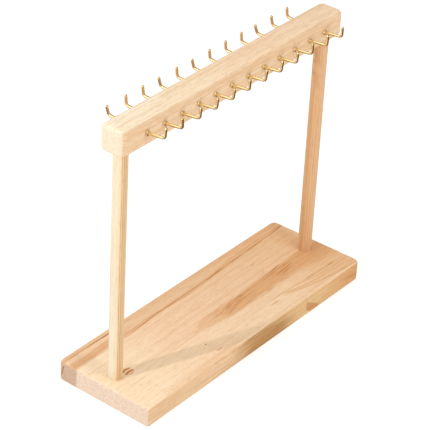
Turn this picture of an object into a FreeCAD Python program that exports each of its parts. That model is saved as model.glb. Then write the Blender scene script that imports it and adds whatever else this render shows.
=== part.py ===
import FreeCAD, Part
import math
import os

# Table-top hook stand: a wooden base board, two round posts and a square top bar with a row of
# brass screw hooks on each long side. Millimetres. +Z is up, +X runs along the bar, the front is -Y.
# The origin is the centre of the base board's underside.

# Base board
base_length = 304.4
base_width = 102.0
base_thickness = 20.0
base_edge_round = 2.8
base_front_left_corner = 3.0
base_front_right_corner = 7.0
base_back_corner = 5.2

# The right end is sawn out of square: its back corner stands this much nearer the middle
base_end_skew = 1.4

# How far left of the base board's middle the posts, the bar and the hooks stand
upper_shift = -1.9

# Posts
post_diameter = 12.7
post_spacing = 268.4
post_end_chamfer = 0.8
base_socket_depth = 12.0
bar_socket_depth = 14.0
glue_gap = 0.05

# Top bar
bar_length = 294.4
bar_width = 25.0
bar_height = 24.5
bar_underside = 245.8
bar_end_corner = 6.0
bar_edge_round = 4.2

# Screw hooks
hooks_per_side = 12
hook_spacing = 21.5
hook_height = 258.8
front_row_shift = 0.9
back_row_shift = 0.4
wire_diameter = 2.4
front_hook_reach = 17.7
back_hook_reach = 15.1
hook_leg = 9.8
hook_bend_radius = 2.6
hook_leg_lean = 5.0
shoulder_diameter = 5.0
shoulder_thickness = 1.3
shoulder_round = 0.4
hook_thread_length = 9.0
hook_thread_pitch = 1.0
hook_thread_depth = 0.3
hook_point_length = 1.6
pilot_gap = 0.05

# How the hooks sit after being screwed in by hand, in degrees. Tilt raises the tip, yaw swings the
# shank towards +X, and turn is how far each hook is tightened past upright, from the left end on.
front_hook_tilt = 5.0
front_hook_yaw = 3.5
front_hook_turns = (3, -4, 9, 8, 11, 2, 10, 8, 5, 3, 4, 2)
back_hook_tilt = 3.0
back_hook_yaw = 0.0
back_hook_turns = (15, 3, 7, 15, 6, 15, 7, 7, 6, 19, 11, 7)

# Countersunk wood screws, one up through the base board into each post
screw_length = 32.0
screw_diameter = 4.0
screw_head_diameter = 8.0
screw_head_recess = 0.3
screw_clearance_diameter = 4.4
screw_thread_length = 22.0
screw_thread_pitch = 1.8
screw_thread_depth = 0.5
screw_point_length = 3.0
drive_slot_length = 4.4
drive_slot_width = 0.9
drive_slot_depth = 1.5

# Threads are drawn as one ring a pitch. These are the shares of the pitch where a ring starts, has its
# crest and ends.
ring_start = 0.35
ring_crest = 0.65
ring_end = 0.95

# Cutting tools reach this far past a surface, and edges flatter than level_limit count as level
overshoot = 1.0
level_limit = 0.01

up = FreeCAD.Vector(0, 0, 1)
along_y = FreeCAD.Vector(0, 1, 0)
post_places = (upper_shift - post_spacing / 2, upper_shift + post_spacing / 2)


def rounded_outline(length, width, corners, end_skew, z):
    """Closed wire round a board centred on the origin, with its own radius at each corner.

    corners run anticlockwise seen from above, from the front left one. end_skew is how much nearer
    the middle the right end is at its back corner than at its front one.
    """
    right = length / 2
    back = width / 2
    points = (FreeCAD.Vector(-right, -back, z), FreeCAD.Vector(right, -back, z),
              FreeCAD.Vector(right - end_skew, back, z), FreeCAD.Vector(-right, back, z))
    arcs = []
    for number, radius in enumerate(corners):
        corner = points[number]
        before = (points[number - 1] - corner).normalize()
        after = (points[(number + 1) % 4] - corner).normalize()
        inward = (before + after).normalize()
        half_angle = before.getAngle(after) / 2
        reach = radius / math.tan(half_angle)
        middle = corner + inward * (radius / math.sin(half_angle) - radius)
        arcs.append((corner + before * reach, middle, corner + after * reach))
    edges = []
    for arc, following in zip(arcs, arcs[1:] + arcs[:1]):
        edges.append(Part.Arc(*arc).toShape())
        edges.append(Part.LineSegment(arc[2], following[0]).toShape())
    return Part.Wire(edges)


def rounded_block(length, width, height, corners, edge_round, z, end_skew=0):
    """Upright block on a rounded outline, with its top and bottom edges rounded over."""
    outline = rounded_outline(length, width, corners, end_skew, z)
    block = Part.Face(outline).extrude(up * height)
    level_edges = [edge for edge in block.Edges if edge.BoundBox.ZLength < level_limit]
    return block.makeFillet(edge_round, level_edges)


def blind_hole(x, radius, bottom, top):
    """Vertical cylinder to cut from a board."""
    return Part.makeCylinder(radius, top - bottom, FreeCAD.Vector(x, 0, bottom), up)


def threaded_spindle(core_radius, depth, pitch, thread_length, point_length):
    """Thread drawn as rings on a core along -Z from the origin, ending in a gimlet point."""
    crest = core_radius + depth
    points = [FreeCAD.Vector(0, 0, 0), FreeCAD.Vector(core_radius, 0, 0)]
    rings = int((thread_length - point_length) / pitch)
    for ring in range(rings):
        start = -ring * pitch
        points.append(FreeCAD.Vector(core_radius, 0, start - ring_start * pitch))
        points.append(FreeCAD.Vector(crest, 0, start - ring_crest * pitch))
        points.append(FreeCAD.Vector(core_radius, 0, start - ring_end * pitch))
    points.append(FreeCAD.Vector(core_radius, 0, point_length - thread_length))
    points.append(FreeCAD.Vector(0, 0, -thread_length))
    profile = Part.Face(Part.makePolygon(points + points[:1]))
    return profile.revolve(FreeCAD.Vector(0, 0, 0), up, 360)


def base_screw(x):
    """Countersunk wood screw, head down in the base board's underside."""
    head_bottom = screw_head_recess
    core = screw_diameter / 2 - screw_thread_depth
    neck = (screw_head_diameter - screw_diameter) / 2
    head = Part.makeCone(screw_head_diameter / 2, screw_diameter / 2, neck)
    plain_length = screw_length - screw_thread_length - neck
    plain = Part.makeCylinder(screw_diameter / 2, plain_length, up * neck)
    thread = threaded_spindle(core, screw_thread_depth, screw_thread_pitch,
                              screw_thread_length, screw_point_length)
    thread.rotate(FreeCAD.Vector(0, 0, 0), FreeCAD.Vector(1, 0, 0), 180)
    thread.translate(up * (neck + plain_length))
    screw = head.fuse([plain, thread])
    for angle in (0, 90):
        slot = Part.makeBox(drive_slot_length, drive_slot_width, drive_slot_depth,
                            FreeCAD.Vector(-drive_slot_length / 2, -drive_slot_width / 2, 0))
        slot.rotate(FreeCAD.Vector(0, 0, 0), up, angle)
        screw = screw.cut(slot)
    screw.translate(FreeCAD.Vector(x, 0, head_bottom))
    return screw.removeSplitter()


def base_board():
    """Board with a socket for each post and a countersunk hole below it."""
    corners = (base_front_left_corner, base_front_right_corner, base_back_corner, base_back_corner)
    board = rounded_block(base_length, base_width, base_thickness, corners, base_edge_round, 0,
                          base_end_skew)
    socket_floor = base_thickness - base_socket_depth
    rim = screw_head_diameter / 2 + screw_head_recess
    throat = screw_clearance_diameter / 2
    for x in post_places:
        socket = blind_hole(x, post_diameter / 2 + glue_gap, socket_floor, base_thickness + overshoot)
        clearance = blind_hole(x, throat, -overshoot, socket_floor + overshoot)
        countersink = Part.makeCone(rim, throat, rim - throat, FreeCAD.Vector(x, 0, 0), up)
        board = board.cut([socket, clearance, countersink])
    return board


def post(x):
    """Round post from the floor of its socket in the base to the roof of the one in the bar."""
    bottom = base_thickness - base_socket_depth + glue_gap
    top = bar_underside + bar_socket_depth - glue_gap
    rod = Part.makeCylinder(post_diameter / 2, top - bottom, FreeCAD.Vector(x, 0, bottom), up)
    end_edges = [edge for edge in rod.Edges if edge.BoundBox.ZLength < level_limit]
    rod = rod.makeChamfer(post_end_chamfer, end_edges)
    screw_tip = screw_head_recess + screw_length
    pilot = blind_hole(x, screw_diameter / 2 + pilot_gap, bottom - overshoot, screw_tip + overshoot)
    return rod.cut(pilot)


def hook(reach):
    """Screw hook with its shoulder at the origin, its shank along +Y and its leg rising along +Z.

    reach is the distance from the shoulder's seat to the middle of the leg.
    """
    wire = wire_diameter / 2
    turn = math.radians(90 - hook_leg_lean)
    tangent = hook_bend_radius * math.tan(turn / 2)
    leg_direction = FreeCAD.Vector(0, math.cos(turn), math.sin(turn))
    corner = FreeCAD.Vector(0, reach, 0)
    bend_start = corner - along_y * tangent
    bend_end = corner + leg_direction * tangent
    centre = bend_start + up * hook_bend_radius
    bend_middle = centre + (corner - centre).normalize() * hook_bend_radius
    leg_top = corner + leg_direction * (hook_leg - wire)
    path = Part.Wire([
        Part.LineSegment(FreeCAD.Vector(0, 0, 0), bend_start).toShape(),
        Part.Arc(bend_start, bend_middle, bend_end).toShape(),
        Part.LineSegment(bend_end, leg_top).toShape(),
    ])
    section = Part.Wire(Part.makeCircle(wire, FreeCAD.Vector(0, 0, 0), along_y))
    rod = path.makePipeShell([section], True, False)
    tip = Part.makeSphere(wire, leg_top)
    shoulder = Part.makeCylinder(shoulder_diameter / 2, shoulder_thickness,
                                 FreeCAD.Vector(0, 0, 0), along_y)
    rims = [edge for edge in shoulder.Edges if edge.BoundBox.YLength < level_limit]
    shoulder = shoulder.makeFillet(shoulder_round, rims)
    thread = threaded_spindle(wire - hook_thread_depth, hook_thread_depth, hook_thread_pitch,
                              hook_thread_length, hook_point_length)
    thread.rotate(FreeCAD.Vector(0, 0, 0), FreeCAD.Vector(1, 0, 0), -90)
    return rod.fuse([tip, shoulder, thread]).removeSplitter()


def pilot_hole():
    """Hole for a hook's thread, in the hook's own frame, starting just outside the bar."""
    start = along_y * shoulder_thickness
    length = shoulder_thickness + hook_thread_length + pilot_gap
    return Part.makeCylinder(wire_diameter / 2 + pilot_gap, length, start, -along_y)


def hook_rows():
    """Name, reach and placement of every hook: the front row, then the back row."""
    hooks = []
    rows = (
        ("front", -1, front_hook_reach, front_hook_tilt, front_hook_yaw, front_hook_turns, front_row_shift),
        ("back", 1, back_hook_reach, back_hook_tilt, back_hook_yaw, back_hook_turns, back_row_shift),
    )
    for row, side, reach, tilt, yaw, turns, shift in rows:
        facing = FreeCAD.Rotation(up, -yaw if side > 0 else 180 + yaw)
        tilting = FreeCAD.Rotation(FreeCAD.Vector(1, 0, 0), tilt)
        lean = math.acos(math.cos(math.radians(tilt)) * math.cos(math.radians(yaw)))
        stand_off = shoulder_diameter / 2 * math.sin(lean)
        for number in range(hooks_per_side):
            turning = FreeCAD.Rotation(along_y, -turns[number])
            x = (number - (hooks_per_side - 1) / 2) * hook_spacing + shift + upper_shift
            seat = FreeCAD.Vector(x, side * (bar_width / 2 + stand_off), hook_height)
            placement = FreeCAD.Placement(seat, facing * tilting * turning)
            hooks.append((f"{row}_hook_{number + 1:02d}", reach, placement))
    return hooks


def top_bar():
    """Square bar with two post sockets underneath and a pilot hole for every hook."""
    corners = (bar_end_corner,) * 4
    bar = rounded_block(bar_length, bar_width, bar_height, corners, bar_edge_round, bar_underside)
    bar.translate(FreeCAD.Vector(upper_shift, 0, 0))
    socket_roof = bar_underside + bar_socket_depth
    holes = []
    for x in post_places:
        holes.append(blind_hole(x, post_diameter / 2 + glue_gap, bar_underside - overshoot, socket_roof))
    for _, _, placement in hook_rows():
        hole = pilot_hole()
        hole.Placement = placement
        holes.append(hole)
    return bar.cut(holes)


def export(node, shape):
    """Write one sub-part to its own STEP file."""
    shape.exportStep(f"parts/{node}.step")


os.makedirs("parts", exist_ok=True)
left_x, right_x = post_places
export("base_board", base_board())
export("left_post", post(left_x))
export("right_post", post(right_x))
export("top_bar", top_bar())
export("left_base_screw", base_screw(left_x))
export("right_base_screw", base_screw(right_x))
for name, reach, placement in hook_rows():
    screw_hook = hook(reach)
    screw_hook.Placement = placement
    export(name, screw_hook)
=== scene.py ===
import math

import bmesh
import bpy
from mathutils import Matrix, Vector


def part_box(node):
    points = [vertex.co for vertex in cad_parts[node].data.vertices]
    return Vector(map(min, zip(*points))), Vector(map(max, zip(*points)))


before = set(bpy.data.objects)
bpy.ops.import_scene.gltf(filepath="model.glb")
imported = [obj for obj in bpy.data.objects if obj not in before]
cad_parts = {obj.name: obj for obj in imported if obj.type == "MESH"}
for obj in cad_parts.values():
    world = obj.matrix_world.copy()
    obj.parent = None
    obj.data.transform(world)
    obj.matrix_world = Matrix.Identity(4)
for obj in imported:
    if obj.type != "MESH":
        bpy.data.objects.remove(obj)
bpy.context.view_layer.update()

# Everything is in metres in the rack's own frame. The wood shaders work in millimetres.
METRES_TO_MM = 1000.0

# Curves on the board run between plus and minus this much along x and y, in millimetres.
CURVE_REACH = 160.0

# The features that follow are on the board's top, in millimetres, and curves go through (x, y) points.
# First the latewood line before the back band, and how far from it a second strand lies
BACK_LINE = ((-160, 29.0), (-92, 30.3), (-41, 33.3), (25, 34.2), (58, 35.7), (92, 36.9), (160, 39.9))
STRAND_GAP = ((-100, 0.5), (-60, 2.4), (-20, -1.2), (20, -2.2), (60, 2.6), (130, 2.6))

# The two edges of the orange band, and (x, y, half length, half width) of the groups of dashes on it
ORANGE_TOP = ((-60, -8.5), (-38, -8.0), (-28, -3.0), (24, -1.5), (70, 1.0), (100, 0.6), (160, 0.5))
ORANGE_BOTTOM = ((-60, -11.0), (-28, -15.0), (10, -18.2), (58, -18.6), (92, -20.0), (125, -27.0),
                 (160, -33.0))
DASH_GROUPS = ((14, -10.5, 32, 7.5), (34, -6, 16, 5), (85, -5, 24, 8))
DASH_RISE = 0.105

# (points, fade before, fade after, strength) of each line at the front right, and a darker streak there
FRONT_LINES = (
    (((61, -31), (86, -37.5), (124, -41), (160, -43.5)), 0.7, 2.4, 1.0),
    (((66, -35), (99, -43), (160, -50)), 0.7, 2.6, 1.0),
    (((51, -30), (74, -31), (109, -36), (160, -38)), 0.7, 2.0, 0.8),
    (((80, -30), (110, -33.5), (160, -35.5)), 0.6, 1.6, 0.6),
)
FRONT_STREAK = ((90, -31.6), (114, -32.6), (160, -34.6))

# The knot beside the left post, and (x, y, half length, half width, strength) of each fleck
KNOT_X = -123.7
KNOT_Y = -3.5
KNOT_HALF_LENGTH = 6.8
KNOT_HALF_WIDTH = 5.8
KNOT_ARC_SPACING = 4.0
FLECKS = (
    (-48.5, -28.2, 1.2, 1.0, 1.0), (58, -18, 7.0, 1.3, 0.5), (43, -34, 9.0, 1.0, 0.5),
    (77, 19, 6.0, 0.9, 0.35), (23, 17, 4.0, 1.0, 0.3), (-45.5, -41.2, 6.0, 1.6, 0.55),
    (-122, -34, 3.0, 1.0, 0.35), (-130, -24, 2.5, 0.9, 0.3), (-32, 14, 3.0, 0.8, 0.3),
    (-88, 8, 2.5, 0.8, 0.25), (-62, -8, 2.5, 0.8, 0.25), (-99, -20, 2.0, 0.8, 0.25),
)

# The board's front face: the middle of its brown heartwood patch, which is partly painted shade, and the
# joint to the right of it, along x
HEART_AND_SHADE_X = 10.0
JOINT_X = 69.0

# The lengths that the board's and the bar's tints run over, and (height, strength) of the bar's streaks
BOARD_SPAN = 300.0
BAR_SPAN = 294.0
BAR_STREAKS = ((262.5, 0.9), (256.0, 0.7), (250.5, 0.5), (266.5, 0.6))

# (place from the middle, strength) of the lines down each post
LEFT_POST_LINES = ((-3.8, 0.6), (-2.4, 0.8), (-0.4, 0.85), (1.4, 0.5), (3.2, 0.5))
RIGHT_POST_LINES = ((-5.4, 0.4), (-3.9, 0.6), (-2.2, 0.5), (-0.3, 0.45), (1.8, 0.5))

# From the bar's middle to the outer face of a hook's shoulder, in metres
SHOULDER_FACE = 0.0138
SHOULDER_FADE = 0.001

# Camera, in degrees and metres. It stands to the front left and above, a little rolled.
CAMERA_AZIMUTH = 52.619
CAMERA_ELEVATION = 32.715
CAMERA_ROLL = 3.102
CAMERA_DISTANCE = 1.804
CAMERA_AIM_HEIGHT = 0.140
CAMERA_AIM_RIGHT = -0.0051
CAMERA_AIM_UP = -0.01755
CAMERA_LENS = 174.54
CAMERA_SENSOR = 36.0

# Round lights: name, place, the point that it faces, diameter in metres and power in watts
LIGHTS = (
    ("key", (-0.72, 0.216, 0.653), (-0.134, 0, 0.1), 0.014, 2.1),
    ("overhead", (-0.3, -0.3, 0.9), (-0.05, 0, 0.1), 0.5, 0.2),
    ("fill", (-0.09, -0.89, 0.62), (0.05, 0, 0.12), 0.3, 2.2),
)

# Surroundings: what lights the wood, from the horizon up to the zenith, and what shows past the floor
HORIZON = (0.585, 0.585, 0.585)
ZENITH = (0.88, 0.88, 0.88)
BACKDROP = (1.0, 1.0, 1.0)

# What the brass mirrors: dimness, but for a bright side and a warm front. Each of these has its direction,
# the cosines of the angle from it between which it fades in, and its colour.
MIRROR_DIM = (0.17, 0.09, 0.03)
MIRROR_BRIGHT = ((-0.74, 0.50, 0.42), 0.2, 0.62, (1.5, 1.45, 1.3))
MIRROR_FRONT = ((-0.15, -0.85, -0.50), 0.75, 0.97, (0.25, 0.155, 0.065))

# Floor: how far it reaches, how far it lies under the base, its grey and its glow
FLOOR_REACH = 3.0
FLOOR_DROP = 0.0001
FLOOR_GREY = (0.40, 0.40, 0.40)
FLOOR_GLOW = 0.70

# Wood colours, linear
CREAM = (0.95, 0.76, 0.53)
PALE = (0.89, 0.625, 0.405)
HONEY = (0.86, 0.595, 0.37)
TAN = (0.845, 0.55, 0.315)
AMBER = (0.80, 0.47, 0.24)
ORANGE = (0.72, 0.375, 0.155)
PINK_TAN = (0.76, 0.45, 0.245)
LINE_TAN = (0.74, 0.46, 0.22)
BAND_TAN = (0.81, 0.54, 0.32)
FACE_PALE = (0.84, 0.58, 0.35)
FACE_YELLOW = (0.785, 0.525, 0.26)
LATEWOOD = (0.56, 0.25, 0.07)
FLECK_BROWN = (0.47, 0.17, 0.03)
# The next brown colours the front face's heartwood patch, and is partly painted shade.
HEART_AND_SHADE_BROWN = (0.50, 0.26, 0.09)
BARK_BROWN = (0.38, 0.13, 0.035)
END_CREAM = (0.86, 0.67, 0.52)
END_PINK = (0.56, 0.36, 0.235)
END_BROWN = (0.42, 0.25, 0.145)
BAR_FRONT = (0.85, 0.635, 0.42)
BAR_END = (0.93, 0.76, 0.58)
LEFT_POST_BROWN = (0.48, 0.26, 0.10)
RIGHT_POST_BROWN = (0.58, 0.28, 0.12)

# Tints along the board and the bar's top, and across the posts, from left to right: (share, colour). Across
# the posts they are partly the wood's own colour and partly painted shade, darker on the side turned from
# the light.
BOARD_TINTS = ((0.05, CREAM), (0.36, PALE), (0.62, HONEY), (1.0, TAN))
BAR_TINTS = ((0.0, (0.95, 0.83, 0.64)), (0.35, CREAM), (0.5, (0.95, 0.72, 0.50)))
LEFT_POST_TINTS_AND_SHADE = (
    (0.0, (0.86, 0.76, 0.57)), (0.1, (0.91, 0.72, 0.48)), (0.2, (0.84, 0.60, 0.36)),
    (0.42, (0.76, 0.53, 0.29)), (0.6, (0.84, 0.62, 0.38)), (1.0, (0.88, 0.64, 0.40)),
)
RIGHT_POST_TINTS_AND_SHADE = (
    (0.0, (0.62, 0.35, 0.17)), (0.045, (0.71, 0.42, 0.215)), (0.16, (0.74, 0.465, 0.25)),
    (0.4, (0.78, 0.50, 0.285)), (1.0, (0.78, 0.49, 0.285)),
)

# Streaks at the left of the back band: (from y, to y, fade, colour)
BAND_STREAKS = ((32.5, 38.5, 1.5, PINK_TAN), (39.5, 44.0, 1.0, PALE))

# What the grain multiplies the wood's colour by where it is strongest
DEEPEN = (0.84, 0.68, 0.51)

# Metals: the two tones that each clouds between, and the brass's roughness where it is smoothest
BRIGHT_BRASS = ((0.93, 0.77, 0.46), (0.87, 0.66, 0.33))
BRIGHT_ROUGHNESS = 0.12
SATIN_BRASS = ((0.88, 0.64, 0.34), (0.82, 0.55, 0.26))
SATIN_ROUGHNESS = 0.38
ZINC = ((0.62, 0.63, 0.62), (0.78, 0.78, 0.74))


class Graph:
    """Shader nodes of a material or world. Inputs may be numbers, tuples or sockets of other nodes."""

    def __init__(self, owner):
        self.owner = owner
        owner.use_nodes = True
        self.tree = owner.node_tree
        self.tree.nodes.clear()

    def add(self, kind, inputs, output=0, **settings):
        """New node with those inputs and settings. Gives the output asked for, or None if it has none."""
        node = self.tree.nodes.new("ShaderNode" + kind)
        for key, value in settings.items():
            setattr(node, key, value)
        for key, value in inputs.items():
            if isinstance(value, bpy.types.NodeSocket):
                self.tree.links.new(value, node.inputs[key])
            elif isinstance(value, tuple) and len(value) == 3 and node.inputs[key].type == "RGBA":
                node.inputs[key].default_value = (*value, 1.0)
            else:
                node.inputs[key].default_value = value
        return node.outputs[output] if len(node.outputs) else None

    def math(self, operation, first, second=0.0):
        return self.add("Math", {0: first, 1: second}, operation=operation)

    def plus(self, first, second):
        return self.math("ADD", first, second)

    def minus(self, first, second):
        return self.math("SUBTRACT", first, second)

    def times(self, first, second):
        return self.math("MULTIPLY", first, second)

    def smooth(self, value, low, high, start=0.0, end=1.0):
        """Smooth step of value, from start at low to end at high."""
        inputs = {"Value": value, "From Min": low, "From Max": high, "To Min": start, "To Max": end}
        return self.add("MapRange", inputs, interpolation_type="SMOOTHSTEP")

    def noise(self, x, y, z, detail=2.0, seed=0.0):
        """Noise between about -0.5 and 0.5 on coordinates that are already scaled."""
        vector = self.add("CombineXYZ", {0: x, 1: y, 2: z})
        inputs = {"Vector": vector, "W": seed, "Scale": 1.0, "Detail": detail}
        return self.minus(self.add("TexNoise", inputs, noise_dimensions="4D"), 0.5)

    def mix(self, factor, first, second, blend="MIX"):
        """Colour mix: first where factor is 0, second where it is 1.

        The node has sockets for several kinds of value, so its colour sockets go by number.
        """
        node = self.tree.nodes.new("ShaderNodeMix")
        node.data_type = "RGBA"
        node.blend_type = blend
        for index, value in ((0, factor), (6, first), (7, second)):
            if isinstance(value, bpy.types.NodeSocket):
                self.tree.links.new(value, node.inputs[index])
            elif index == 0:
                node.inputs[index].default_value = value
            else:
                node.inputs[index].default_value = (*value, 1.0)
        return node.outputs[2]

    def ramp(self, factor, stops):
        """Colour ramp through (position, colour) stops."""
        node = self.tree.nodes.new("ShaderNodeValToRGB")
        self.tree.links.new(factor, node.inputs[0])
        ramp = node.color_ramp
        ramp.interpolation = "EASE"
        while len(ramp.elements) < len(stops):
            ramp.elements.new(1.0)
        for element, (position, colour) in zip(ramp.elements, stops):
            element.position = position
            element.color = (*colour, 1.0)
        return node.outputs[0]

    def bump(self, height, strength, distance):
        return self.add("Bump", {"Height": height, "Strength": strength, "Distance": distance})

    def surface(self, colour, roughness, normal, **constants):
        """Principled surface. constants are set on the shader's own sockets."""
        inputs = {"Base Color": colour, "Roughness": roughness, "Normal": normal}
        for key, value in constants.items():
            inputs[key.replace("_", " ")] = value
        shader = self.add("BsdfPrincipled", inputs)
        self.add("OutputMaterial", {"Surface": shader})
        return self.owner


class Wood(Graph):
    """One piece of pine: a point of it in millimetres, and which way its surface faces."""

    def __init__(self, name, upright=False):
        super().__init__(bpy.data.materials.new(name))
        self.x, self.y, self.z = self.split(self.add("TexCoord", {}, "Object"), METRES_TO_MM)
        self.nx, self.ny = self.split(self.add("TexCoord", {}, "Normal"), 1.0)[:2]
        self.along, self.side = (self.z, self.x) if upright else (self.x, self.z)
        self.drift = self.times(self.fibres(40.0, 90.0, 1.0), 4.0)

    def split(self, vector, scale):
        """The three components of a vector, times scale."""
        scaled = self.add("VectorMath", {0: vector, "Scale": scale}, operation="SCALE")
        return [self.add("SeparateXYZ", {0: scaled}, axis) for axis in "XYZ"]

    def fibres(self, width, length, seed, detail=2.0):
        """Streaks along the grain, of about that width and length, from about -0.5 to 0.5."""
        return self.noise(self.times(self.along, 1.0 / length), self.times(self.y, 1.0 / width),
                          self.times(self.side, 1.0 / width), detail=detail, seed=seed)

    def curve(self, points):
        """The y of a smooth curve at the wood's x, through (x, y) points in millimetres."""
        node = self.tree.nodes.new("ShaderNodeFloatCurve")
        share = self.times(self.plus(self.x, CURVE_REACH), 0.5 / CURVE_REACH)
        self.tree.links.new(share, node.inputs["Value"])
        curve = node.mapping.curves[0]
        while len(curve.points) < len(points):
            curve.points.new(0.5, 0.5)
        for point, place in zip(curve.points, points):
            point.location = [0.5 + 0.5 * value / CURVE_REACH for value in place]
        node.mapping.update()
        return self.times(self.minus(node.outputs[0], 0.5), 2.0 * CURVE_REACH)

    def ridge(self, offset, before, after):
        """1 where offset is 0, fading out over before on its negative side and after on its positive."""
        rise = self.smooth(offset, -before, 0.0)
        return self.times(rise, self.smooth(offset, 0.0, after, 1.0, 0.0))

    def window(self, value, low, high, soft):
        """1 between low and high, fading to 0 over soft on each side."""
        rise = self.smooth(value, low - soft, low)
        return self.times(rise, self.smooth(value, high, high + soft, 1.0, 0.0))

    def spot(self, x, y, long, wide, soft):
        """1 inside an oval on the x-y plane, fading to 0 over the share soft of its size."""
        across = self.times(self.minus(self.x, x), 1.0 / long)
        up = self.times(self.minus(self.y, y), 1.0 / wide)
        squares = self.plus(self.times(across, across), self.times(up, up))
        return self.smooth(self.math("SQRT", squares), 1.0 - soft, 1.0, 1.0, 0.0)

    def facing(self, component):
        """1 where that component of the surface's direction is near 1, and 0 where it is near 0."""
        return self.smooth(component, 0.55, 0.85)

    def grain(self, colour, fine=0.30, broad=0.32):
        """Colour, deepened by broad bands, fine fibres, a mottle and short pores.

        Each kind of streak begins to show at low, is full at high, and has its share of the deepening.
        """
        for streaks, low, high, share in (
            (self.fibres(4.0, 150.0, 5.0), -0.08, 0.18, broad),
            (self.fibres(1.0, 20.0, 3.0, detail=3.0), -0.05, 0.13, fine),
            (self.fibres(2.2, 7.0, 6.0), -0.03, 0.16, 0.7 * fine),
            (self.fibres(0.6, 5.0, 9.0), 0.13, 0.22, 0.8),
        ):
            amount = self.times(self.smooth(streaks, low, high), share)
            colour = self.mix(amount, colour, DEEPEN, "MULTIPLY")
        return colour

    def end_grain(self, colour, light, dark, heart_y, heart_z, spacing):
        """Colour, but growth rings round a pith line and a speckle on both sawn ends."""
        up = self.minus(self.z, heart_z)
        across = self.minus(self.y, heart_y)
        squares = self.plus(self.times(up, up), self.times(across, across))
        radius = self.plus(self.math("SQRT", squares), self.times(self.drift, 0.5))
        rings = self.math("SINE", self.times(radius, 2.0 * math.pi / spacing))
        speckle = self.noise(self.x, self.times(self.y, 1.3), self.times(self.z, 1.3), seed=4.0)
        blotch = self.noise(self.x, self.times(self.y, 0.4), self.times(self.z, 0.4), seed=14.0)
        tone = self.plus(self.times(rings, 0.03), self.plus(speckle, self.times(blotch, 0.9)))
        ends = self.mix(self.smooth(tone, -0.2, 0.35, 0.0, 0.5), light, dark)
        return self.mix(self.facing(self.math("ABSOLUTE", self.nx)), colour, ends)

    def finish(self, colour):
        """Sanded and thinly oiled wood in that colour, with raised fibres."""
        fibres = self.fibres(0.5, 20.0, 7.0, detail=3.0)
        lumps = self.fibres(6.0, 40.0, 8.0)
        height = self.plus(self.times(fibres, 0.6), self.times(lumps, 0.8))
        roughness = self.smooth(fibres, -0.3, 0.3, 0.52, 0.68)
        return self.surface(colour, roughness, self.bump(height, 0.5, 0.00012), Specular_IOR_Level=0.3)


def board_tint(wood):
    """The board runs from cream at its left end to tan, paler in front, and browner at the back right, where
    a painted shadow of the right post lies.
    """
    reach = wood.times(wood.plus(wood.x, wood.times(wood.drift, 4.0)), 1.0 / BOARD_SPAN)
    colour = wood.ramp(wood.plus(reach, 0.5), BOARD_TINTS)
    front = wood.times(wood.smooth(wood.y, -22.0, -2.0, 1.0, 0.0), wood.smooth(wood.x, -110.0, -60.0))
    colour = wood.mix(wood.times(front, 0.38), colour, CREAM)
    # Painted shadow of the right post, reaching back towards the back edge, mixed in amber.
    painted_post_shadow = wood.times(wood.window(wood.x, 128.0, 139.0, 8.0), wood.window(wood.y, 8.0, 38.0, 8.0))
    return wood.mix(wood.times(painted_post_shadow, 0.6), colour, AMBER)


def board_back_band(wood, colour):
    """Band along the back edge: tan-pink with paler and browner streaks, and a latewood line before it."""
    offset = wood.plus(wood.minus(wood.y, wood.curve(BACK_LINE)), wood.times(wood.drift, 0.25))
    offset = wood.plus(offset, wood.times(wood.fibres(2.0, 25.0, 2.0), 1.2))
    band = wood.mix(wood.smooth(wood.x, 0.0, 110.0), BAND_TAN, AMBER)
    colour = wood.mix(wood.smooth(offset, -0.6, 1.0, 0.0, 0.75), colour, band)
    left = wood.smooth(wood.x, -100.0, -60.0, 1.0, 0.0)
    streaks = wood.plus(wood.y, wood.times(wood.fibres(1.6, 30.0, 27.0), 5.0))
    for low, high, soft, tint in BAND_STREAKS:
        colour = wood.mix(wood.times(wood.window(streaks, low, high, soft), left), colour, tint)
    colour = wood.mix(wood.times(wood.window(streaks, 46.0, 60.0, 1.2), 0.5), colour, AMBER)
    strength = wood.smooth(wood.x, -110.0, -40.0)
    colour = wood.mix(wood.times(wood.ridge(offset, 3.5, 5.0), wood.times(strength, 0.6)), colour, AMBER)
    strength = wood.times(strength, wood.smooth(wood.fibres(9.0, 22.0, 6.0), -0.15, 0.1, 0.5, 1.0))
    colour = wood.mix(wood.times(wood.ridge(offset, 1.1, 1.8), wood.times(strength, 0.8)), colour, LATEWOOD)
    core = wood.times(wood.ridge(offset, 0.5, 0.7), wood.times(strength, 0.7))
    colour = wood.mix(core, colour, FLECK_BROWN)
    strand = wood.ridge(wood.minus(offset, wood.curve(STRAND_GAP)), 0.5, 1.0)
    colour = wood.mix(wood.times(strand, wood.times(strength, 0.7)), colour, LATEWOOD)
    ragged = wood.plus(wood.y, wood.times(wood.fibres(1.2, 12.0, 29.0), 2.0))
    edge = wood.ridge(wood.minus(ragged, 45.2), 0.8, 0.9)
    faint = wood.smooth(wood.x, -100.0, -60.0, 0.45, 0.1)
    strength = wood.plus(wood.window(wood.x, -115.0, -89.0, 14.0), faint)
    return wood.mix(wood.times(edge, strength), colour, BARK_BROWN)


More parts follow.
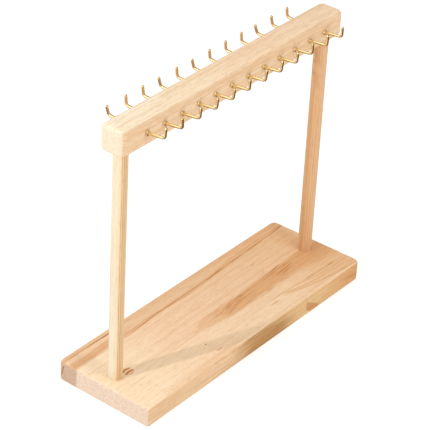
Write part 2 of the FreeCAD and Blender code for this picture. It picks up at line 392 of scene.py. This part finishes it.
def board_orange_band(wood, colour):
    """Orange band right of the middle, with ragged edges and dark resin dashes rising to the right."""
    ragged = wood.plus(wood.times(wood.fibres(1.5, 25.0, 13.0), 9.0), wood.times(wood.drift, 0.3))
    below_top = wood.plus(wood.minus(wood.curve(ORANGE_TOP), wood.y), ragged)
    soft = wood.smooth(wood.x, 60.0, 130.0, 1.4, 7.0)
    bottom = wood.plus(wood.curve(ORANGE_BOTTOM), wood.times(soft, 0.5))
    above_bottom = wood.math("DIVIDE", wood.plus(wood.minus(wood.y, bottom), ragged), soft)
    inside = wood.times(wood.smooth(below_top, -0.8, 1.6), wood.smooth(above_bottom, -1.0, 1.0))
    inside = wood.times(inside, wood.smooth(wood.x, -48.0, 30.0, 0.25, 0.8))
    colour = wood.mix(wood.times(inside, wood.smooth(wood.x, -60.0, -36.0)), colour, ORANGE)
    slope = wood.minus(wood.y, wood.times(wood.x, DASH_RISE))
    dashes = wood.noise(wood.times(wood.x, 1.0 / 38.0), wood.times(slope, 1.0 / 0.9),
                        wood.times(wood.z, 0.2), detail=1.0, seed=17.0)
    groups = 0.0
    for x, y, long, wide in DASH_GROUPS:
        groups = wood.plus(groups, wood.spot(x, y, long, wide, 0.4))
    dashes = wood.times(wood.smooth(dashes, 0.03, 0.09), groups)
    return wood.mix(dashes, colour, LATEWOOD)


def board_front_lines(wood, colour):
    """Curved lines and a streak at the front right of the top, on browner wood, and a browner front edge."""
    for points, before, after, strength in FRONT_LINES:
        offset = wood.plus(wood.minus(wood.y, wood.curve(points)), wood.times(wood.drift, 0.15))
        line = wood.times(wood.ridge(offset, before, after), wood.window(wood.x, points[0][0], 160, 12.0))
        colour = wood.mix(wood.times(line, strength), colour, LINE_TAN)
    corner = wood.times(wood.smooth(wood.x, 55.0, 130.0), wood.window(wood.y, -44.0, -23.0, 6.0))
    colour = wood.mix(wood.times(corner, 0.6), colour, AMBER)
    offset = wood.minus(wood.y, wood.curve(FRONT_STREAK))
    streak = wood.times(wood.ridge(offset, 0.9, 1.1), wood.window(wood.x, 98.0, 128.0, 16.0))
    broken = wood.smooth(wood.fibres(3.0, 14.0, 21.0), -0.12, 0.1, 0.4, 1.0)
    colour = wood.mix(wood.times(streak, broken), colour, LATEWOOD)
    tint = wood.times(wood.smooth(wood.y, -46.0, -41.0, 1.0, 0.0), wood.window(wood.x, -110, -40, 30.0))
    return wood.mix(wood.times(tint, 0.35), colour, AMBER)


def board_marks(wood, colour):
    """An oval knot with bold arcs across it, and a few flecks on the top face."""
    upper = wood.smooth(wood.z, 17.0, 19.0)
    ragged = wood.smooth(wood.fibres(0.9, 8.0, 39.0), -0.3, 0.1, 0.35, 1.0)
    knot = wood.times(wood.spot(KNOT_X, KNOT_Y, KNOT_HALF_LENGTH, KNOT_HALF_WIDTH, 0.4), upper)
    bend = wood.times(wood.math("ABSOLUTE", wood.minus(wood.x, KNOT_X)), 0.2)
    turns = wood.times(wood.plus(wood.plus(wood.y, bend), 0.3), 2.0 * math.pi / KNOT_ARC_SPACING)
    arcs = wood.smooth(wood.math("COSINE", turns), -0.6, 0.5)
    colour = wood.mix(wood.times(knot, 0.4), colour, AMBER)
    colour = wood.mix(wood.times(knot, arcs), colour, LATEWOOD)
    for x, y, long, wide, strength in FLECKS:
        fleck = wood.times(wood.spot(x, y, long, wide, 0.7), wood.times(upper, ragged))
        colour = wood.mix(wood.times(fleck, strength), colour, FLECK_BROWN)
    return colour


def board_front_face(wood, colour):
    """The front face has a brown heartwood patch that is partly painted shade, and beyond a joint a wedge, a
    streak and an orange end.
    """
    waves = wood.times(wood.fibres(1.8, 40.0, 23.0, detail=4.0), 2.6)
    # Heartwood patch, partly wood and partly painted shade below where the left post's shadow crosses the
    # front edge.
    heart_and_shade = wood.window(wood.x, HEART_AND_SHADE_X - 12.0, HEART_AND_SHADE_X + 6.0, 50.0)
    # Lower down it is darker still: painted shade from the shaded floor in front of the board.
    low = wood.times(wood.smooth(wood.z, 4.0, 14.0, 0.5, 0.0),
                     wood.window(wood.x, HEART_AND_SHADE_X - 15.0, HEART_AND_SHADE_X + 15.0, 20.0))
    heart_and_shade = wood.plus(wood.plus(heart_and_shade, low), waves)
    face = wood.mix(wood.smooth(wood.x, -60.0, 60.0), FACE_PALE, FACE_YELLOW)
    face = wood.mix(wood.smooth(heart_and_shade, -0.3, 1.4), face, HEART_AND_SHADE_BROWN)
    joint = wood.smooth(wood.x, JOINT_X - 0.5, JOINT_X + 0.5)
    beyond = wood.minus(wood.x, JOINT_X)
    face = wood.mix(wood.times(joint, wood.smooth(wood.x, 85.0, 135.0, 0.0, 0.8)), face, ORANGE)
    face = wood.mix(wood.smooth(wood.x, 136.0, 148.0, 0.0, 0.25), face, LATEWOOD)
    slant = wood.plus(wood.z, wood.times(beyond, 0.55))
    wedge = wood.times(wood.window(slant, 7.0, 14.0, 2.0), wood.window(beyond, 0.0, 16.0, 5.0))
    slant = wood.plus(wood.plus(wood.z, wood.times(beyond, 0.2)),
                      wood.times(wood.fibres(3.0, 20.0, 35.0), 3.0))
    streak = wood.times(wood.ridge(wood.minus(slant, 22.5), 2.0, 3.5), wood.smooth(wood.x, 115.0, 140.0))
    marks = wood.times(wood.math("MAXIMUM", wedge, streak), wood.times(joint, 0.7))
    face = wood.mix(marks, face, LATEWOOD)
    return wood.mix(wood.facing(wood.times(wood.ny, -1.0)), colour, face)


def base_board_material():
    """Pale pine board with a pinkish back edge, an orange band, a knot, flecks and sawn ends.

    The ends are cream, and brown with a bark streak towards the back.
    """
    wood = Wood("base_pine")
    colour = board_tint(wood)
    colour = board_back_band(wood, colour)
    colour = board_orange_band(wood, colour)
    colour = board_front_lines(wood, colour)
    colour = board_marks(wood, colour)
    colour = wood.grain(board_front_face(wood, colour))
    rear = wood.smooth(wood.plus(wood.y, wood.times(wood.fibres(8.0, 8.0, 33.0), 4.0)), 28.5, 31.0)
    light = wood.mix(wood.times(rear, 0.75), END_CREAM, END_PINK)
    dark = wood.mix(rear, END_PINK, END_BROWN)
    streak = wood.ridge(wood.minus(wood.y, wood.minus(48.9, wood.times(wood.z, 0.25))), 1.3, 1.0)
    streak = wood.times(streak, wood.window(wood.z, 7.0, 16.5, 1.5))
    light = wood.mix(streak, light, BARK_BROWN)
    dark = wood.mix(streak, dark, BARK_BROWN)
    colour = wood.end_grain(colour, light, dark, heart_y=70.0, heart_z=-60.0, spacing=5.0)
    return wood.finish(colour)


def bar_material():
    """Palest of the pieces: cream, with a tan front that has thin streaks along it."""
    wood = Wood("bar_pine")
    reach = wood.times(wood.plus(wood.x, wood.times(wood.drift, 3.0)), 1.0 / BAR_SPAN)
    top = wood.ramp(wood.plus(reach, 0.5), BAR_TINTS)
    front = wood.smooth(wood.ny, -0.8, -0.45, 1.0, 0.0)
    colour = wood.mix(front, top, BAR_FRONT)
    colour = wood.grain(colour, fine=0.40, broad=0.38)
    wavy = wood.plus(wood.z, wood.times(wood.fibres(12.0, 45.0, 31.0), 8.0))
    for height, strength in BAR_STREAKS:
        line = wood.times(wood.ridge(wood.minus(wavy, height), 0.5, 1.6), front)
        colour = wood.mix(wood.times(line, strength), colour, AMBER)
    colour = wood.end_grain(colour, BAR_END, PINK_TAN, heart_y=-20.0, heart_z=230.0, spacing=4.0)
    return wood.finish(colour)


def post_material(name, node, tints_and_shade, line_colour, lines):
    """Dowel sawn with its rings square to x: colours across it that are partly wood and partly painted
    shade, and darker lines down its length.
    """
    wood = Wood(name, upright=True)
    left, right = (corner[0] * METRES_TO_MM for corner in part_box(node))
    across = wood.minus(wood.x, 0.5 * (left + right))
    across = wood.plus(across, wood.times(wood.fibres(30.0, 120.0, 41.0), 1.5))
    # Colours across x: partly the wood's own, partly painted shade on the side turned from the light.
    colour = wood.ramp(wood.plus(wood.times(across, 1.0 / (right - left)), 0.5), tints_and_shade)
    ragged = wood.plus(across, wood.times(wood.fibres(1.5, 30.0, 43.0), 0.8))
    for place, strength in lines:
        line = wood.ridge(wood.minus(ragged, place), 0.25, 0.6)
        colour = wood.mix(wood.times(line, strength), colour, line_colour)
    return wood.finish(wood.grain(colour, fine=0.22, broad=0.15))


def left_post_material():
    """Pale yellow dowel with brown lines down it, strongest left of its middle, and painted shade darkening
    it a little left of its middle along x.
    """
    return post_material("left_post_pine", "left_post", LEFT_POST_TINTS_AND_SHADE, LEFT_POST_BROWN, LEFT_POST_LINES)


def right_post_material():
    """Redder dowel with fainter lines, darkest on its left, and that darker left side is partly painted
    shade.
    """
    return post_material("right_post_pine", "right_post", RIGHT_POST_TINTS_AND_SHADE, RIGHT_POST_BROWN,
                         RIGHT_POST_LINES)


def brass_material(name, tones, least_roughness):
    """Drawn brass wire that clouds between two tones, duller on the shoulder next to the bar."""
    graph = Graph(bpy.data.materials.new(name))
    place = graph.add("TexCoord", {}, "Object")
    reach = graph.math("ABSOLUTE", graph.add("SeparateXYZ", {0: place}, "Y"))
    metal = graph.smooth(reach, SHOULDER_FACE, SHOULDER_FACE + SHOULDER_FADE, 0.5, 1.0)
    cloud = graph.add("TexNoise", {"Vector": place, "Scale": 900.0, "Detail": 2.0})
    colour = graph.mix(cloud, *tones)
    roughness = graph.smooth(cloud, 0.3, 0.7, least_roughness, least_roughness + 0.1)
    normal = graph.bump(cloud, 0.05, 0.00005)
    return graph.surface(colour, roughness, normal, Metallic=metal)


def steel_material():
    """Bright zinc plating on the base screws."""
    graph = Graph(bpy.data.materials.new("zinc_steel"))
    place = graph.add("TexCoord", {}, "Object")
    cloud = graph.add("TexNoise", {"Vector": place, "Scale": 700.0, "Detail": 3.0})
    colour = graph.mix(cloud, *ZINC)
    roughness = graph.smooth(cloud, 0.3, 0.7, 0.25, 0.4)
    normal = graph.bump(cloud, 0.1, 0.00005)
    return graph.surface(colour, roughness, normal, Metallic=1.0)


def dress(nodes, material):
    """Give CAD nodes a material."""
    for node in nodes:
        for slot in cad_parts[node].material_slots:
            slot.material = material


def make_camera():
    """Camera at the viewing angle, with a long lens and a slight roll."""
    azimuth = math.radians(CAMERA_AZIMUTH)
    elevation = math.radians(CAMERA_ELEVATION)
    back = Vector((-math.sin(azimuth) * math.cos(elevation),
                   -math.cos(azimuth) * math.cos(elevation),
                   math.sin(elevation)))
    right = (-back).cross(Vector((0, 0, 1))).normalized()
    up = right.cross(-back)
    aim = Vector((0, 0, CAMERA_AIM_HEIGHT)) + right * CAMERA_AIM_RIGHT + up * CAMERA_AIM_UP
    axes = Matrix((right, up, back)).transposed().to_4x4()
    data = bpy.data.cameras.new("camera")
    data.lens = CAMERA_LENS
    data.sensor_width = CAMERA_SENSOR
    camera = bpy.data.objects.new("camera", data)
    roll = Matrix.Rotation(math.radians(CAMERA_ROLL), 4, "Z")
    camera.matrix_world = Matrix.Translation(aim + back * CAMERA_DISTANCE) @ axes @ roll
    bpy.context.scene.collection.objects.link(camera)
    bpy.context.scene.camera = camera


def make_light(name, place, target, size, power):
    """Round area light that faces a point."""
    data = bpy.data.lights.new(name, "AREA")
    data.shape = "DISK"
    data.size = size
    data.energy = power
    light = bpy.data.objects.new(name, data)
    light.location = place
    light.rotation_euler = (Vector(target) - Vector(place)).to_track_quat("-Z", "Y").to_euler()
    bpy.context.scene.collection.objects.link(light)


def make_lights():
    """Small key light at the back left, a soft one overhead and a soft fill in front."""
    for light in LIGHTS:
        make_light(*light)


def make_world():
    """Pale surroundings for the wood, with a bright side and a warm front that only the metal mirrors."""
    world = bpy.data.worlds.new("studio")
    bpy.context.scene.world = world
    graph = Graph(world)
    direction = graph.add("TexCoord", {}, "Generated")
    rise = graph.add("SeparateXYZ", {0: direction}, "Z")
    even = graph.mix(graph.math("MAXIMUM", rise, 0.0), HORIZON, ZENITH)
    mirrored = MIRROR_DIM
    for side, outer, inner, colour in (MIRROR_BRIGHT, MIRROR_FRONT):
        facing = graph.add("VectorMath", {0: direction, 1: side}, "Value", operation="DOT_PRODUCT")
        mirrored = graph.mix(graph.smooth(facing, outer, inner), mirrored, colour)
    lighting = graph.mix(graph.add("LightPath", {}, "Is Glossy Ray"), even, mirrored)
    seen = graph.mix(graph.add("LightPath", {}, "Is Camera Ray"), lighting, BACKDROP)
    background = graph.add("Background", {"Color": seen})
    graph.add("OutputWorld", {"Surface": background})


def make_floor():
    """Plain pale floor just under the base, which shiny surfaces don't mirror."""
    mesh = bpy.data.meshes.new("floor")
    shape = bmesh.new()
    bmesh.ops.create_grid(shape, x_segments=1, y_segments=1, size=FLOOR_REACH)
    shape.to_mesh(mesh)
    shape.free()
    floor = bpy.data.objects.new("floor", mesh)
    floor.location.z = -FLOOR_DROP
    floor.visible_glossy = False
    graph = Graph(bpy.data.materials.new("floor"))
    shader = graph.add("BsdfPrincipled", {
        "Base Color": FLOOR_GREY, "Roughness": 0.9, "Specular IOR Level": 0.0,
        "Emission Color": (1.0, 1.0, 1.0), "Emission Strength": FLOOR_GLOW})
    graph.add("OutputMaterial", {"Surface": shader})
    mesh.materials.append(graph.owner)
    bpy.context.scene.collection.objects.link(floor)


make_camera()
make_lights()
make_world()
make_floor()
bpy.context.scene.view_settings.view_transform = "Standard"

front_hooks = [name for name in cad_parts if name.startswith("front_hook_")]
back_hooks = [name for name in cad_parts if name.startswith("back_hook_")]
dress(["base_board"], base_board_material())
dress(["top_bar"], bar_material())
dress(["left_post"], left_post_material())
dress(["right_post"], right_post_material())
dress(front_hooks, brass_material("bright_brass", BRIGHT_BRASS, BRIGHT_ROUGHNESS))
dress(back_hooks, brass_material("satin_brass", SATIN_BRASS, SATIN_ROUGHNESS))
dress(["left_base_screw", "right_base_screw"], steel_material())
